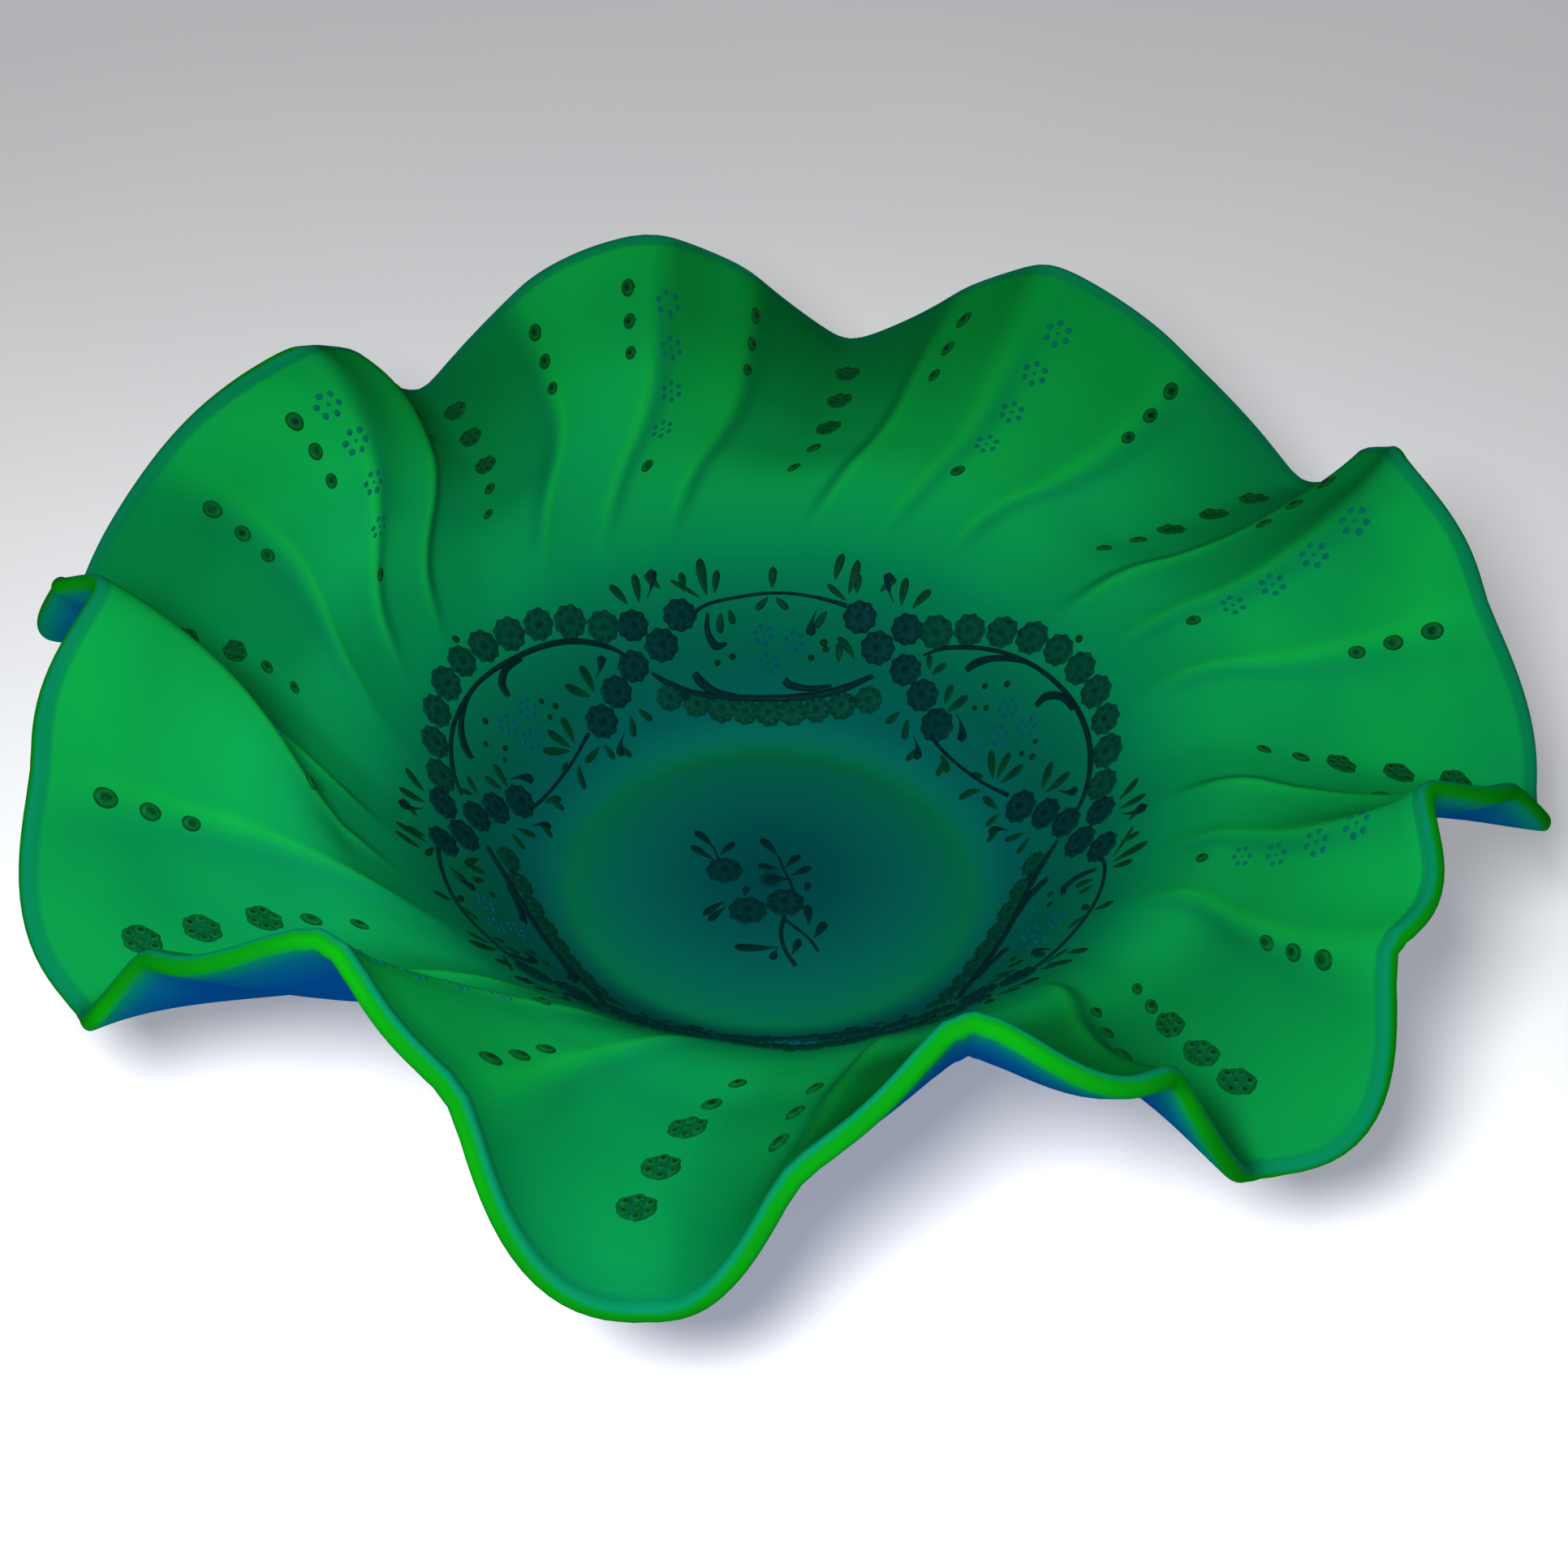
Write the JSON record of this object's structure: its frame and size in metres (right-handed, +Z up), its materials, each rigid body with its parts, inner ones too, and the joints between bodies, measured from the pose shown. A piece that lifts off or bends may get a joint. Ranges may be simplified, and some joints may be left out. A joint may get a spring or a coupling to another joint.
{
  "type": "ruffled glass bowl",
  "caption": "Wide ruffled glass bowl with a flat ground base, a fluorescent green lining inside a blue outer layer, a bright rounded rim and raised enamel flowers.",
  "frame": {"origin": "centre of the flat ground base, on the face that the bowl rests on", "axes": "+Z up through the open mouth of the bowl; -Y towards the side the picture was taken from"},
  "size_m": [0.2918, 0.2929, 0.0981],
  "materials": {
    "casing_glass": "glossy opaque blue outer layer of cased glass",
    "uranium_glass": "glossy opal green uranium glass, glowing under ultraviolet light",
    "rim_glass": "fire-polished bright yellow-green uranium glass",
    "dark_enamel": "raised fired enamel, dark blue-green",
    "brown_enamel": "raised fired enamel, dark brown-green"
  },
  "bodies": {
    "root": {"blossom_chain_1": "dark_enamel", "blossom_chain_2": "dark_enamel", "blossom_chain_3": "dark_enamel", "blossom_chain_4": "dark_enamel", "blossom_chain_5": "dark_enamel", "blossom_chain_6": "dark_enamel", "cartouche_frame_1": "dark_enamel", "cartouche_frame_2": "dark_enamel", "cartouche_frame_3": "dark_enamel", "cartouche_frame_4": "dark_enamel", "cartouche_frame_5": "dark_enamel", "cartouche_frame_6": "dark_enamel", "joining_bar_1": "dark_enamel", "joining_bar_2": "dark_enamel", "joining_bar_3": "dark_enamel", "joining_bar_4": "dark_enamel", "joining_bar_5": "dark_enamel", "joining_bar_6": "dark_enamel", "outer_casing": "casing_glass", "rim_bead": "rim_glass", "spray_blossom_1": "dark_enamel", "spray_blossom_2": "dark_enamel", "spray_blossom_3": "dark_enamel", "spray_stem": "dark_enamel", "trough_flower_1_1": "brown_enamel", "trough_flower_1_2": "brown_enamel", "trough_flower_1_3": "brown_enamel", "trough_flower_2_1": "brown_enamel", "trough_flower_2_2": "brown_enamel", "trough_flower_2_3": "brown_enamel", "trough_flower_3_1": "brown_enamel", "trough_flower_3_2": "brown_enamel", "trough_flower_3_3": "brown_enamel", "trough_flower_4_1": "brown_enamel", "trough_flower_4_2": "brown_enamel", "trough_flower_4_3": "brown_enamel", "trough_flower_5_1": "brown_enamel", "trough_flower_5_2": "brown_enamel", "trough_flower_5_3": "brown_enamel", "trough_flower_6_1": "brown_enamel", "trough_flower_6_2": "brown_enamel", "trough_flower_6_3": "brown_enamel", "trough_flower_7_1": "brown_enamel", "trough_flower_7_2": "brown_enamel", "trough_flower_7_3": "brown_enamel", "trough_flower_8_1": "brown_enamel", "trough_flower_8_2": "brown_enamel", "trough_flower_8_3": "brown_enamel", "uranium_lining": "uranium_glass"}
  },
  "joints": []
}
